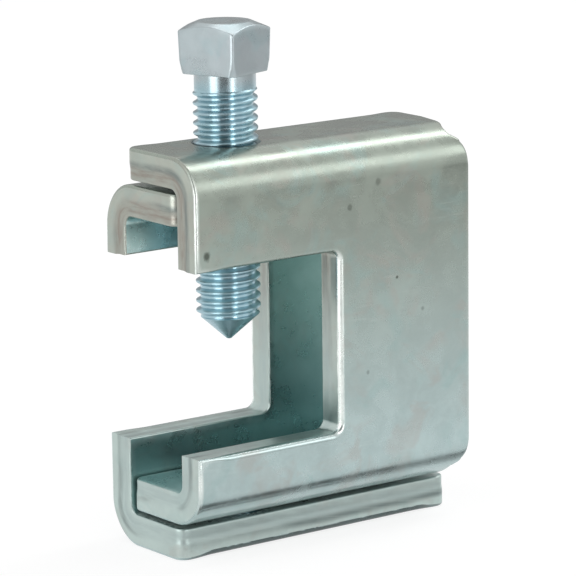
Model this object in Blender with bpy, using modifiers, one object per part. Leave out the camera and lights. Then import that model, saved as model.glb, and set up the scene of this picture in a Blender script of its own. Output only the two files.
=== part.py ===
"""Beam clamp: two interlocking folded plate halves and a square-head set screw.

Each half is one stamping: a C-shaped plate whose top and bottom are folded inward as
flanges. One flange lies on the outside of the clamp, the other on the inside, so the second
half is the same stamping turned half a turn about the clamp's length, and the flanges of
the pair lie on each other. The set screw passes through both top flanges and presses a
beam's flange down on the lower arms; the hanger rod screws into both bottom flanges.

Frame: +X from the throat's mouth to the spine, +Z up, origin in the middle of the length
and of the width, at the underside of the lowest flange. Units are metres.
"""
import math

import bmesh
import bpy
from mathutils import Matrix, Vector

MM = 0.001

# Plate and overall form
PLATE = 6.35 * MM                  # thickness of the steel plate
ARM_HEIGHT = 21.7 * MM             # height of the upper and of the lower arm
THROAT_HEIGHT = 36.4 * MM          # opening for the beam's flange
THROAT_DEPTH = 34.5 * MM           # from the arms' front ends to the spine
SPINE_WIDTH = 33.0 * MM            # from the throat's back to the back edge

# Folds
BEND_INSIDE_RADIUS = 2.0 * MM
NEUTRAL_DEPTH = 0.55               # neutral fibre, as a share of the plate, from outside
FLANGE_GAP = 0.95 * MM             # between the two flanges that lie on each other
FLANGE_END_GAP = 0.5 * MM          # between a flange's free edge and the other plate
HOLE_TO_PLATE = 2.1 * MM           # from a tapped hole's edge to either plate's inner face
BEND_STRIPS = 9                    # flat strips that make up one fold

# Edges and corners of the stamping
DIE_ROLL = 1.5 * MM                # round edge that the punch leaves on the outer face
DIE_ROLL_STEPS = 3
THROAT_CORNER_RADIUS = 1.8 * MM
FLANGE_FRONT_RADIUS = 2.6 * MM
FLANGE_REAR_RADIUS = 2.6 * MM
FLANGE_REAR_INSET = 0.4 * MM       # how far a flange's back stays short of the plate's
PLATE_REAR_RADIUS = 2.9 * MM
WAIST_DEPTH = 3.5 * MM             # how far the back edge steps in at a fold
WAIST_START = 3.2 * MM             # along the unfolded plate, from the start of the fold
WAIST_BOTTOM = 4.6 * MM
WAIST_RADIUS = 1.2 * MM
SHOULDER_DEPTH = 1.9 * MM          # the flange's back edge slants out from here
SHOULDER_START = 6.4 * MM
SHOULDER_RADIUS = 1.7 * MM
SLANT_END = 13.5 * MM
SLANT_END_RADIUS = 5.0 * MM
ARC_STEP = math.radians(18)        # largest turn between two points of an arc

# Thread of the set screw and of the hanger rod, half inch coarse
THREAD_DIAMETER = 12.7 * MM
THREAD_PITCH = 25.4 / 13 * MM
THREAD_DEPTH = 1.15 * MM
CREST_FLAT = 0.125                 # shares of the pitch
ROOT_FLAT = 0.25
THREAD_STEPS = 24                  # facets in one turn
THREAD_START = 0.92                # where the thread starts, in turns
HOLE_CLEARANCE = 0.3 * MM          # round the thread, in the holes of the flanges
HOLE_CHAMFER = 0.6 * MM
HOLE_FACETS = 48

# Set screw
SCREW_FROM_FRONT = 18.4 * MM       # axis of the screw and of the rod hole
SHANK_LENGTH = 52.8 * MM           # under the head, point included
HEAD_LIFT = 13.7 * MM              # underside of the head above the top flange
HEAD_HEIGHT = 10.0 * MM
HEAD_EDGE = 0.45 * MM
HEAD_TURN = math.radians(19.3)
CROWN_RADIUS = 5.4 * MM            # flat middle of the head's top
CROWN_SLOPE = math.radians(24)
NECK_RELIEF = 0.3 * MM             # how far the plain neck stays inside the thread's crests
NECK_LENGTH = 3.5 * MM
NECK_OVERLAP = 0.3 * MM            # how far the neck's cone runs in under the thread's root
POINT_HALF_ANGLE = math.radians(48)
POINT_FLAT_RADIUS = 0.5 * MM
TURNED_FACETS = 48
TURNED_TWIST = math.radians(2.1)   # keeps the neck's facets clear of the thread's

MERGE = 0.00001                    # points closer than this are one point
SPARE = 1.0 * MM                   # how far a cutter passes the face that it cuts

# Sizes that follow
HOLE_RADIUS = THREAD_DIAMETER / 2 + HOLE_CLEARANCE
WIDTH = 2 * (PLATE + HOLE_TO_PLATE + HOLE_RADIUS)
HEIGHT = 2 * ARM_HEIGHT + THROAT_HEIGHT
LENGTH = THROAT_DEPTH + SPINE_WIDTH
FRONT = -LENGTH / 2
BACK = LENGTH / 2
SPINE_FACE = FRONT + THROAT_DEPTH
SCREW_X = FRONT + SCREW_FROM_FRONT
BEND_OUTSIDE_RADIUS = BEND_INSIDE_RADIUS + PLATE
NEUTRAL_RADIUS = BEND_OUTSIDE_RADIUS - NEUTRAL_DEPTH * PLATE
BEND_LENGTH = NEUTRAL_RADIUS * math.pi / 2
FLANGE_REACH = WIDTH - PLATE - FLANGE_END_GAP
FLANGE_FLAT = FLANGE_REACH - BEND_OUTSIDE_RADIUS
OUTER_FOLD = HEIGHT - BEND_OUTSIDE_RADIUS
INNER_FOLD = PLATE + FLANGE_GAP + BEND_OUTSIDE_RADIUS
HEAD_ACROSS_FLATS = THREAD_DIAMETER
NECK_RADIUS = THREAD_DIAMETER / 2 - NECK_RELIEF

PLATE_FINISH = ("zinc_plated_plate", (0.50, 0.53, 0.52), 0.42, 0.9)
SCREW_FINISH = ("zinc_plated_screw", (0.56, 0.62, 0.65), 0.30, 1.0)


def new_material(name, colour, roughness, metallic):
    """A Principled material of one plain colour."""
    material = bpy.data.materials.new(name)
    material.use_nodes = True
    shader = material.node_tree.nodes["Principled BSDF"]
    shader.inputs["Base Color"].default_value = (*colour, 1)
    shader.inputs["Roughness"].default_value = roughness
    shader.inputs["Metallic"].default_value = metallic
    material.diffuse_color = (*colour, 1)
    return material


def new_collection(name):
    """A collection linked to the scene."""
    collection = bpy.data.collections.new(name)
    bpy.context.scene.collection.children.link(collection)
    return collection


def new_object(name, bm, collection, material=None):
    """Put a bmesh into a new object, shaded smooth with sharp edges by angle."""
    mesh = bpy.data.meshes.new(name)
    bm.to_mesh(mesh)
    bm.free()
    mesh.shade_smooth()
    mesh.set_sharp_from_angle(angle=math.radians(30))
    obj = bpy.data.objects.new(name, mesh)
    collection.objects.link(obj)
    if material:
        mesh.materials.append(material)
    return obj


def mark_as_tool(obj):
    """Show a cutter as wire and keep it out of renders."""
    obj.hide_render = True
    obj.display_type = "WIRE"
    return obj


def add_boolean(obj, tool, operation):
    """Cut, trim or join an object with a tool object."""
    modifier = obj.modifiers.new(f"{operation.lower()}_{tool.name}", "BOOLEAN")
    modifier.object = tool
    modifier.operation = operation
    modifier.solver = "EXACT"


def turned_object(name, profile, collection, facets=TURNED_FACETS):
    """Turn an open profile of (radius, height) points, from top axis to bottom axis."""
    bm = bmesh.new()
    points = [bm.verts.new((radius, 0, height)) for radius, height in profile]
    for upper, lower in zip(points, points[1:]):
        bm.edges.new((upper, lower))
    obj = new_object(name, bm, collection)
    turn = obj.modifiers.new("turn", "SCREW")
    turn.steps = facets
    turn.render_steps = facets
    turn.use_merge_vertices = True
    turn.merge_threshold = MERGE
    return obj


# The stamping

def rounded_outline(corners):
    """Points of a closed outline whose corners (x, v, radius) are rounded by arcs."""
    points = []
    count = len(corners)
    for index, (x, v, radius) in enumerate(corners):
        here = Vector((x, v))
        before = (Vector(corners[index - 1][:2]) - here).normalized()
        after = (Vector(corners[(index + 1) % count][:2]) - here).normalized()
        if radius == 0:
            points.append(here)
            continue
        half_angle = before.angle(after) / 2
        centre = here + (before + after).normalized() * radius / math.sin(half_angle)
        start = here + before * radius / math.tan(half_angle) - centre
        turn = math.pi - 2 * half_angle
        if before.cross(after) > 0:
            turn = -turn
        steps = max(2, math.ceil(abs(turn) / ARC_STEP))
        for step in range(steps + 1):
            points.append(centre + Matrix.Rotation(turn * step / steps, 2) @ start)
    return points


def flange_corners(fold, side):
    """Corners of one flange with the waist behind its fold, from the waist to the front.

    fold is the height at which the fold starts; side is +1 for the top, -1 for the bottom.
    """
    free_edge = fold + side * (BEND_LENGTH + FLANGE_FLAT)
    rear = BACK - FLANGE_REAR_INSET
    return [
        (BACK, fold + side * WAIST_START, PLATE_REAR_RADIUS),
        (BACK - WAIST_DEPTH, fold + side * WAIST_BOTTOM, WAIST_RADIUS),
        (BACK - SHOULDER_DEPTH, fold + side * SHOULDER_START, SHOULDER_RADIUS),
        (rear, fold + side * SLANT_END, SLANT_END_RADIUS),
        (rear, free_edge, FLANGE_REAR_RADIUS),
        (FRONT, free_edge, FLANGE_FRONT_RADIUS),
    ]


def blank_outline():
    """Unfolded outline, counter-clockwise in x and height v."""
    throat = [
        (FRONT, HEIGHT - ARM_HEIGHT, 0),
        (SPINE_FACE, HEIGHT - ARM_HEIGHT, THROAT_CORNER_RADIUS),
        (SPINE_FACE, ARM_HEIGHT, THROAT_CORNER_RADIUS),
        (FRONT, ARM_HEIGHT, 0),
    ]
    bottom = list(reversed(flange_corners(INNER_FOLD, -1)))
    return rounded_outline(flange_corners(OUTER_FOLD, 1) + throat + bottom)


def fold_point(point):
    """Place a point (x, depth from the outer face, v) of the blank on the folded half.

    Past the start of a fold the point turns about the fold's centre, at the outside radius
    less its depth, by its distance along the neutral fibre over the neutral radius. Past
    the end of the fold it runs straight on towards the other plate.
    """
    x, depth, v = point
    top = v > HEIGHT / 2
    fold = OUTER_FOLD if top else INNER_FOLD
    side = 1 if top else -1
    past = max(0, side * (v - fold))
    if past == 0:
        return Vector((x, depth - WIDTH / 2, v))
    angle = min(past, BEND_LENGTH) / NEUTRAL_RADIUS
    radius = BEND_OUTSIDE_RADIUS - depth
    inward = BEND_OUTSIDE_RADIUS - radius * math.cos(angle) + max(0, past - BEND_LENGTH)
    return Vector((x, inward - WIDTH / 2, fold + side * radius * math.sin(angle)))


def build_half_mesh():
    """Punch the blank, round its outer edge, score it into strips at the folds, fold it."""
    bm = bmesh.new()
    face = bm.faces.new([bm.verts.new((p.x, 0, p.y)) for p in blank_outline()])
    lifted = bmesh.ops.extrude_face_region(bm, geom=[face])["geom"]
    inner = [item for item in lifted if isinstance(item, bmesh.types.BMVert)]
    bmesh.ops.translate(bm, verts=inner, vec=(0, PLATE, 0))
    bmesh.ops.recalc_face_normals(bm, faces=bm.faces)
    rim = [edge for edge in bm.edges if all(vert.co.y == 0 for vert in edge.verts)]
    bmesh.ops.bevel(bm, geom=rim, offset=DIE_ROLL, segments=DIE_ROLL_STEPS,
                    profile=0.5, affect="EDGES")
    for fold, side in ((OUTER_FOLD, 1), (INNER_FOLD, -1)):
        for strip in range(BEND_STRIPS + 1):
            height = fold + side * BEND_LENGTH * strip / BEND_STRIPS
            everything = bm.verts[:] + bm.edges[:] + bm.faces[:]
            bmesh.ops.bisect_plane(bm, geom=everything, dist=MERGE / 10,
                                   plane_co=(0, 0, height), plane_no=(0, 0, 1))
    for vert in bm.verts:
        vert.co = fold_point(vert.co)
    return bm


def hole_cutter(collection):
    """Turned cutter for the four tapped holes, with a chamfer at the outer faces."""
    flare = HOLE_RADIUS + HOLE_CHAMFER + SPARE
    profile = [
        (0, HEIGHT + SPARE),
        (flare, HEIGHT + SPARE),
        (HOLE_RADIUS, HEIGHT - HOLE_CHAMFER),
        (HOLE_RADIUS, HOLE_CHAMFER),
        (flare, -SPARE),
        (0, -SPARE),
    ]
    cutter = turned_object("tapped_hole_cutter", profile, collection, HOLE_FACETS)
    cutter.location.x = SCREW_X
    return mark_as_tool(cutter)


def build_halves(parts, tools, material):
    """The near half, and the same stamping turned over as the far half."""
    near = new_object("near_clamp_half", build_half_mesh(), parts, material)
    far = bpy.data.objects.new("far_clamp_half", near.data)
    far.rotation_euler.x = math.pi
    far.location.z = HEIGHT
    parts.objects.link(far)
    cutter = hole_cutter(tools)
    for half in (near, far):
        add_boolean(half, cutter, "DIFFERENCE")


# The set screw, modelled with the underside of its head at height zero

def close_ends(bm, top, bottom):
    """Close the two open ends of a thread with fans of faces to points on its axis."""
    open_edges = [edge for edge in bm.edges if edge.is_boundary]
    middle = (top + bottom) / 2
    for height in (top, bottom):
        tip = bm.verts.new((0, 0, height))
        for edge in open_edges:
            if (edge.verts[0].co.z > middle) == (height > middle):
                bm.faces.new((*edge.verts, tip))
    bmesh.ops.recalc_face_normals(bm, faces=bm.faces)


def thread_object(collection, material):
    """A right-hand thread: the outline of one pitch swept along its helix."""
    radius = THREAD_DIAMETER / 2
    root = radius - THREAD_DEPTH
    flank = (1 - CREST_FLAT - ROOT_FLAT) / 2 * THREAD_PITCH
    turns = math.ceil(SHANK_LENGTH / THREAD_PITCH) + 1
    bm = bmesh.new()
    profile = [
        (root, THREAD_PITCH),
        (radius, THREAD_PITCH - flank),
        (radius, THREAD_PITCH - flank - CREST_FLAT * THREAD_PITCH),
        (root, ROOT_FLAT * THREAD_PITCH),
        (root, 0),
    ]
    points = [bm.verts.new((r, 0, z)) for r, z in profile]
    for upper, lower in zip(points, points[1:]):
        bm.edges.new((upper, lower))
    guide = mark_as_tool(new_object("thread_guide", bm, collection))
    sweep = guide.modifiers.new("sweep", "SCREW")
    sweep.steps = THREAD_STEPS
    sweep.render_steps = THREAD_STEPS
    sweep.screw_offset = THREAD_PITCH
    sweep.iterations = turns
    sweep.use_merge_vertices = True
    sweep.merge_threshold = MERGE
    bpy.context.view_layer.update()
    swept = guide.evaluated_get(bpy.context.evaluated_depsgraph_get())
    bm = bmesh.new()
    bm.from_mesh(swept.to_mesh())
    swept.to_mesh_clear()
    bpy.data.objects.remove(guide)
    bmesh.ops.remove_doubles(bm, verts=bm.verts, dist=MERGE)
    length = (turns + 1) * THREAD_PITCH
    bmesh.ops.translate(bm, verts=bm.verts, vec=(0, 0, THREAD_START * THREAD_PITCH - length))
    close_ends(bm, THREAD_PITCH, -length - THREAD_PITCH)
    return new_object("set_screw", bm, collection, material)


def point_profile(reach):
    """Profile of the cone point, from a given radius to the axis."""
    rise = (reach - POINT_FLAT_RADIUS) / math.tan(POINT_HALF_ANGLE)
    return [
        (reach, -SHANK_LENGTH + rise),
        (POINT_FLAT_RADIUS, -SHANK_LENGTH),
        (0, -SHANK_LENGTH),
    ]


def screw_envelope(collection):
    """The turned blank that bounds the thread: its upper end and its cone point."""
    top = -NECK_LENGTH + THREAD_PITCH / 4
    reach = THREAD_DIAMETER / 2 + SPARE
    profile = [(0, top), (reach, top)] + point_profile(reach)
    envelope = mark_as_tool(turned_object("screw_envelope", profile, collection))
    envelope.rotation_euler.z = TURNED_TWIST
    return envelope


def crown_tool(collection):
    """The turned form of the head's top: a flat middle and a slope to the corners."""
    reach = HEAD_ACROSS_FLATS
    drop = (reach - CROWN_RADIUS) * math.tan(CROWN_SLOPE)
    profile = [
        (0, HEAD_HEIGHT),
        (CROWN_RADIUS, HEAD_HEIGHT),
        (reach, HEAD_HEIGHT - drop),
        (reach, -SPARE),
        (0, -SPARE),
    ]
    return mark_as_tool(turned_object("head_crown", profile, collection))


def head_object(collection):
    """The square head with softened edges, trimmed by its crown."""
    bm = bmesh.new()
    height = HEAD_HEIGHT + SPARE
    size = Matrix.Diagonal((HEAD_ACROSS_FLATS, HEAD_ACROSS_FLATS, height, 1))
    place = Matrix.Translation((0, 0, height / 2))
    bmesh.ops.create_cube(bm, size=1, matrix=Matrix.Rotation(HEAD_TURN, 4, "Z") @ place @ size)
    bmesh.ops.bevel(bm, geom=bm.edges[:], offset=HEAD_EDGE, segments=2, profile=0.5,
                    affect="EDGES")
    head = mark_as_tool(new_object("square_head", bm, collection))
    add_boolean(head, crown_tool(collection), "INTERSECT")
    return head


def neck_object(collection):
    """The plain neck between head and thread, coned down to the thread's root."""
    root = THREAD_DIAMETER / 2 - THREAD_DEPTH - NECK_OVERLAP
    profile = [
        (0, SPARE),
        (NECK_RADIUS, SPARE),
        (NECK_RADIUS, -NECK_LENGTH),
        (root, -NECK_LENGTH - (NECK_RADIUS - root)),
        (0, -NECK_LENGTH - (NECK_RADIUS - root)),
    ]
    neck = mark_as_tool(turned_object("screw_neck", profile, collection))
    neck.rotation_euler.z = TURNED_TWIST
    return neck


def build_screw(parts, tools, material):
    """Thread trimmed by its turned blank, joined to neck and head, set in its hole."""
    screw = thread_object(parts, material)
    add_boolean(screw, screw_envelope(tools), "INTERSECT")
    add_boolean(screw, neck_object(tools), "UNION")
    add_boolean(screw, head_object(tools), "UNION")
    place = Vector((SCREW_X, 0, HEIGHT + HEAD_LIFT))
    for obj in [screw] + [tool for tool in tools.objects if not tool.name.startswith("tapped")]:
        obj.location = place


def main():
    """Clear the scene and build the clamp."""
    for obj in list(bpy.data.objects):
        bpy.data.objects.remove(obj)
    parts = new_collection("beam_clamp")
    tools = new_collection("beam_clamp_cutters")
    build_halves(parts, tools, new_material(*PLATE_FINISH))
    build_screw(parts, tools, new_material(*SCREW_FINISH))


main()
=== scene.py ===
"""Looks of the beam clamp: its stamped halves and its screw as finished steel surfaces.

The two halves and the screw are worked out again as fine surfaces, with round folds, rolled
and torn cut edges and tapped holes, at the sizes and in the places of the loaded solids.
Frame: +X from the throat's mouth to the spine, +Z up, origin under the middle of the lowest
flange. Units are metres.
"""
import math

import bmesh
import bpy
import numpy as np
from mathutils import Matrix, Vector


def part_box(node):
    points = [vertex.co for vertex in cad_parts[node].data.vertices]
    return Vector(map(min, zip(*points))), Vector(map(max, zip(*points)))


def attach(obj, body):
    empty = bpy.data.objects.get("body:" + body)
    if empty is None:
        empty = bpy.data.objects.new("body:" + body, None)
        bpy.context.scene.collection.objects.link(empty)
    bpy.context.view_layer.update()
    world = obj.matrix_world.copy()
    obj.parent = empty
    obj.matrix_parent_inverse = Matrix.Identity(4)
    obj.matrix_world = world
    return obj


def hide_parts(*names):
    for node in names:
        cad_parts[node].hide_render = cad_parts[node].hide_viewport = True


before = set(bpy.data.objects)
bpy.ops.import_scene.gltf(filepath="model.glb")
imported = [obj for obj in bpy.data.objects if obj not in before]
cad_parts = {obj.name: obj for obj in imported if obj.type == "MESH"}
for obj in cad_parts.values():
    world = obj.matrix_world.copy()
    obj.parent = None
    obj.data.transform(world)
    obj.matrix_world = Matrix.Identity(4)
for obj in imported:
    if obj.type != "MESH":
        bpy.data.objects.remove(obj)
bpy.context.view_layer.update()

MM = 0.001

# Places read from the loaded solids
NEAR_LOW, NEAR_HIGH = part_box("near_clamp_half")
SCREW_LOW, SCREW_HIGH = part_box("set_screw")
FRONT = NEAR_LOW.x
BACK = NEAR_HIGH.x
HEIGHT = NEAR_HIGH.z
OUTER_FACE = -NEAR_LOW.y           # distance of each plate's outer face from the middle
FLANGE_REACH = NEAR_HIGH.y - NEAR_LOW.y
SCREW_X = (SCREW_LOW.x + SCREW_HIGH.x) / 2
HEAD_TOP = SCREW_HIGH.z
TIP = SCREW_LOW.z

# Stamping
PLATE = 6.35 * MM
ARM_HEIGHT = 21.7 * MM
THROAT_DEPTH = 34.5 * MM
BEND_INSIDE_RADIUS = 2.0 * MM
NEUTRAL_DEPTH = 0.55               # neutral fibre, as a share of the plate, from outside
EDGE_ROLL = 0.6 * MM               # round edge of the outer face, at the front and the back
THROAT_ROLL = 1.25 * MM            # the same along the throat and the flanges' free edges
ROLL_START = 3.1 * MM              # past the flanges' corners the one grows into the other
ROLL_BLEND = 5.0 * MM
THROAT_CORNER_RADIUS = 1.8 * MM
FLANGE_CORNER_RADIUS = 2.6 * MM
FLANGE_REAR_INSET = 0.4 * MM
PLATE_REAR_RADIUS = 2.9 * MM
WAIST_DEPTH = 3.5 * MM             # how far the back edge steps in at a fold
WAIST_START = 3.2 * MM             # along the unfolded plate, from the start of the fold
WAIST_BOTTOM = 4.6 * MM
WAIST_RADIUS = 1.2 * MM
SHOULDER_DEPTH = 1.9 * MM          # the flange's back edge slants out from here
SHOULDER_START = 6.4 * MM
SHOULDER_RADIUS = 1.7 * MM
SLANT_END = 13.5 * MM
SLANT_END_RADIUS = 5.0 * MM

# Cut edge of the stamping, from the outer face to the inner face
BURNISH_END = 2.9 * MM             # depth to which the punch cut the edge smooth
TEAR_RAMP = 1.6 * MM               # past it the torn steel draws back over this depth
TEAR_SETBACK = 0.14 * MM           # how far the torn band lies behind the smooth one
TEAR_ROUGHNESS = 0.02 * MM
TEAR_WAVES = ((5300, 2100), (1270, -900))      # along and across the band, radians a metre
TEAR_SWAY = (2900, 1500, 9)        # one more wave, and how far its phase sways, in radians
INNER_EDGE_RADIUS = 0.35 * MM
FOLD_SQUEEZE = 0.25 * MM           # how far a fold's outside draws in at the cut edge
FACING_ALONG = 0.7                 # past this an edge counts as facing the front or the back

# Painted edge light along the cut edges: 1 is a painted highlight, -1 a matt painted tone
RUN_EDGE_LIGHT = {"spine": 1.0, "front_low": 0.8, "front_high": 0.8, "throat_low": 0.15,
            "throat_high": 0.15, "back": 0.15, "top": -0.8, "bottom": -0.8}
EDGE_LIGHT_BLEND = 4                     # outline points on each side that share their wear
INNER_EDGE_HIGHLIGHT = 0.3
RUB_AND_LIGHT_BLEND = 3.0 * MM

# Grids of the stamping
ARM_ROWS = 12
BEND_ROWS = 40
FLAT_ROWS = 26
CORNER_ROWS = 8
SPINE_ROWS = 26
ARM_COLUMNS = 32
THROAT_ARC_STEPS = 6
SPINE_COLUMNS = 22
BACK_ARC_STEPS = 12
ROLL_STEPS = 8
SMOOTH_STEPS = 3
TEAR_STEPS = 11
INNER_EDGE_STEPS = 3
SHARP_ANGLE = math.radians(30)     # edges that turn more than this stay sharp

# Thread, half inch coarse
THREAD_RADIUS = 6.35 * MM
THREAD_PITCH = 25.4 / 13 * MM
THREAD_DEPTH = 0.9 * MM
CREST_HALF = 0.08                  # shares of the pitch, from the middle of the crest
ROOT_START = 0.4
CREST_ROUNDING = 0.5
THREAD_SAMPLES = 16                # points along one pitch
CREST_PHASE = 0.545                # crest on the +X side, in pitches from under the head
TAP_CLEARANCE = 0.15 * MM
TAP_OVERRUN = 1.0 * MM
TAP_FLARE_RADIUS = 6.85 * MM
TAP_SIDES = 72

# Screw
HEAD_HEIGHT = 10.0 * MM
HEAD_HALF = 6.35 * MM
HEAD_DRAFT = 0.28 * MM             # how far the sides lean out at the top
HEAD_CORNER_RADIUS = 0.5 * MM
HEAD_EDGE = 0.35 * MM              # rounding of the head's upper edge
HEAD_FOOT_EDGE = 0.12 * MM
FOOT_RADIUS = 8.3 * MM             # the foot's corners are turned off to a steep cone
FOOT_SLOPE = 0.22
HEAD_TURN = math.radians(19.3)
CROWN_RADIUS = 5.4 * MM
CROWN_SLOPE = math.radians(24)
NECK_RADIUS = 6.05 * MM
NECK_LENGTH = 3.5 * MM
NECK_FILLET = 0.03 * MM
THREAD_TOP = 3.0 * MM              # under the head
POINT_SLOPE = math.tan(math.radians(48))
POINT_FLAT_RADIUS = 0.5 * MM
SCREW_SIDES = 96
HEAD_CORNER_POINTS = 9
HEAD_CORNER_SPREAD = 1.6           # these points' reach to each side, in corner radii
NECK_STEPS = 4
UNDERSIDE_STEPS = 4
HEAD_EDGE_STEPS = 4
HEAD_SIDE_STEPS = 12
CROWN_STEPS = 8
TOP_STEPS = 6

# Sizes that follow
SPINE_FACE = FRONT + THROAT_DEPTH
THROAT_TOP = HEIGHT - ARM_HEIGHT
BEND_OUTSIDE_RADIUS = BEND_INSIDE_RADIUS + PLATE
NEUTRAL_RADIUS = BEND_OUTSIDE_RADIUS - NEUTRAL_DEPTH * PLATE
BEND_LENGTH = NEUTRAL_RADIUS * math.pi / 2
FLANGE_FLAT = FLANGE_REACH - BEND_OUTSIDE_RADIUS
OUTER_FOLD = HEIGHT - BEND_OUTSIDE_RADIUS
INNER_FOLD = NEAR_LOW.z + BEND_OUTSIDE_RADIUS
UNDER_HEAD = HEAD_TOP - HEAD_HEIGHT
MERGE = 1e-6                       # points closer than this become one

# Specks of the near plate's face as (x, height, radius), in millimetres, and how dark
FACE_SPECKS = (
    (-31.2, 61.3, 1.2, 0.75),
    (3.3, 66.7, 0.9, 0.4),
    (10.4, 71.0, 1.1, 0.4),
    (15.0, 51.2, 0.5, 0.7),
    (21.5, 44.0, 0.6, 0.35),
    (7.5, 33.0, 0.5, 0.3),
)
NECK_SPECK = (-20.5, -5.2, 92.4, 0.75, 0.9)

# Studio
WORLD_LIGHT = 0.7
FLOOR_SHARE = 0.26                 # how much of the floor's white comes from the light on it
FLOOR_GLOW = 0.8                   # and how much is its own
FLOOR_SIZE = (12.0, 12.0)

# Lamps as name, azimuth, elevation, distance from the clamp's middle, size and radiance
LAMPS = (
    ("left_box", -85, 30, 1.2, (0.5, 0.7), 1.2),
    ("top_strip", 92, 53, 1.0, (0.22, 0.6), 4.0),
    ("right_box", 45, 28, 1.1, (0.4, 0.34), 1.7),
)

# Cards in the same order, with how bright they are
CARDS = (
    ("left_card", -79, -11, 0.32, (0.15, 0.34), 3.5),
    ("left_card_upper", -79, 38, 0.4, (0.15, 0.27), 1.6),
    ("camera_card", -41, 12, 0.33, (0.22, 0.6), 0.12),
    ("front_card", -11, 12, 0.32, (0.065, 0.6), 4.7),
    ("right_card", 60, -1.5, 0.35, (0.4, 0.05), 0.55),
    ("back_card", 143, 13, 1.0, (1.1, 0.5), 0.42),
    ("crown_card", 145, 61, 0.346, (0.11, 0.07), 2.8),
)

# Dark cards, seen only in reflections, that lie on the floor before the lowest flange: painted
# shade of the contact shadow in the metal's lower edges. As name, width and y
STRIPS = (("foot_shade_card", 0.0045, -0.0197), ("contact_shadow_card", 0.0015, -0.0158))
STRIP_LENGTH = 0.12
STRIP_X = 0.02
STRIP_HEIGHT = 0.1 * MM
STRIP_BRIGHTNESS = 0.14

# Camera, fitted to the photograph: angles in degrees, lens and sensor in millimetres
CAMERA_PLACE = Vector((-0.4265, -0.5648, 0.1966))
CAMERA_AZIMUTH = -37.015
CAMERA_ELEVATION = 11.81
CAMERA_ROLL = -0.721
CAMERA_LENS = 227.315
CAMERA_SENSOR = 36.0
CAMERA_CLIP = (0.01, 50)


def linear(red, green, blue):
    """A colour written as 0 to 255, as the linear values that a shader takes."""
    share = np.array((red, green, blue)) / 255
    value = np.where(share <= 0.04045, share / 12.92, ((share + 0.055) / 1.055) ** 2.4)
    return (*value.tolist(), 1.0)


# Finishes
ORIGIN = (0.0, 0.0, 0.0)
GREY = (0.5, 0.5, 0.5, 1.0)
ALONG_X = (0.08, 1.0, 1.0)         # draws scratches out along the clamp
PLATE_TINTS = (linear(172, 160, 153), linear(146, 178, 176))     # warm and cool stains
SCRATCH_COLOUR = linear(214, 222, 218)
SCRATCH_HOLLOW = 0.2               # as a share of HOLLOW_DEPTH
SPECK_COLOUR = linear(52, 58, 48)
SEAM_COLOUR = linear(110, 122, 121)
SEAM_SHARE = 0.7
TORN_HEIGHTS = (30, 62)            # the torn band changes colour between these, in millimetres
MATT_LOSS = 0.5                    # how much less metallic dulled zinc is
WAVE_DEPTH = 0.08 * MM
GRAIN_DEPTH = 0.003 * MM
HOLLOW_DEPTH = 0.05 * MM
EDGE_DRAW = 0.14                   # draws noise out along a cut edge
TEAR_WANDER = 0.4                  # how far the torn band wanders, as a share of the plate
COOL_SHIFT = (0.31, 0.17, 0.53)    # sets the cool stains apart from the warm ones

# Scales of the noises, to the metre
GRAIN_SCALE = 1500.0
SCRATCH_SCALE = 1300.0
SPECK_SCALE = 900.0
WEAR_SCALE = 260.0
WAVE_SCALE = 85.0
SCRATCHED_SCALE = 70.0             # where scratches gather
SEAM_SCALE = 48.0
WANDER_SCALE = 30.0
BROAD_SCALE_SHARE = 0.28           # of the patches' scale, for the broad clouds
STAIN_SCALE_SHARE = 0.55


# Formulas that several shapes use

def smooth_step(share):
    """Three times the square less twice the cube, which starts and ends level."""
    return share * share * (3 - 2 * share)


def quarter_turn(steps):
    """Even angles from nought to a right angle."""
    return np.linspace(0, math.pi / 2, steps + 1)


def round_axis(radius, angles, height):
    """Points at these radii, angles and heights round the screw's axis."""
    return np.stack((SCREW_X + radius * np.cos(angles), radius * np.sin(angles), height), -1)


def past_fold(v):
    """How far a height of the blank lies past the nearer fold's start; below 0 short of it."""
    return np.maximum(v - OUTER_FOLD, INNER_FOLD - v)


# Meshes

def shade_smoothly(mesh):
    """Smooth shading, apart from the sharp edges."""
    mesh.shade_smooth()
    mesh.set_sharp_from_angle(angle=SHARP_ANGLE)


def grid_faces(rows, columns, start=0, flip=False):
    """Quads of a grid whose point (row, column) has the number start + row * columns + column."""
    row, column = np.meshgrid(np.arange(rows - 1), np.arange(columns - 1), indexing="ij")
    corner = start + (row * columns + column).ravel()
    quads = np.stack((corner, corner + 1, corner + columns + 1, corner + columns), axis=1)
    return quads[:, ::-1] if flip else quads


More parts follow.
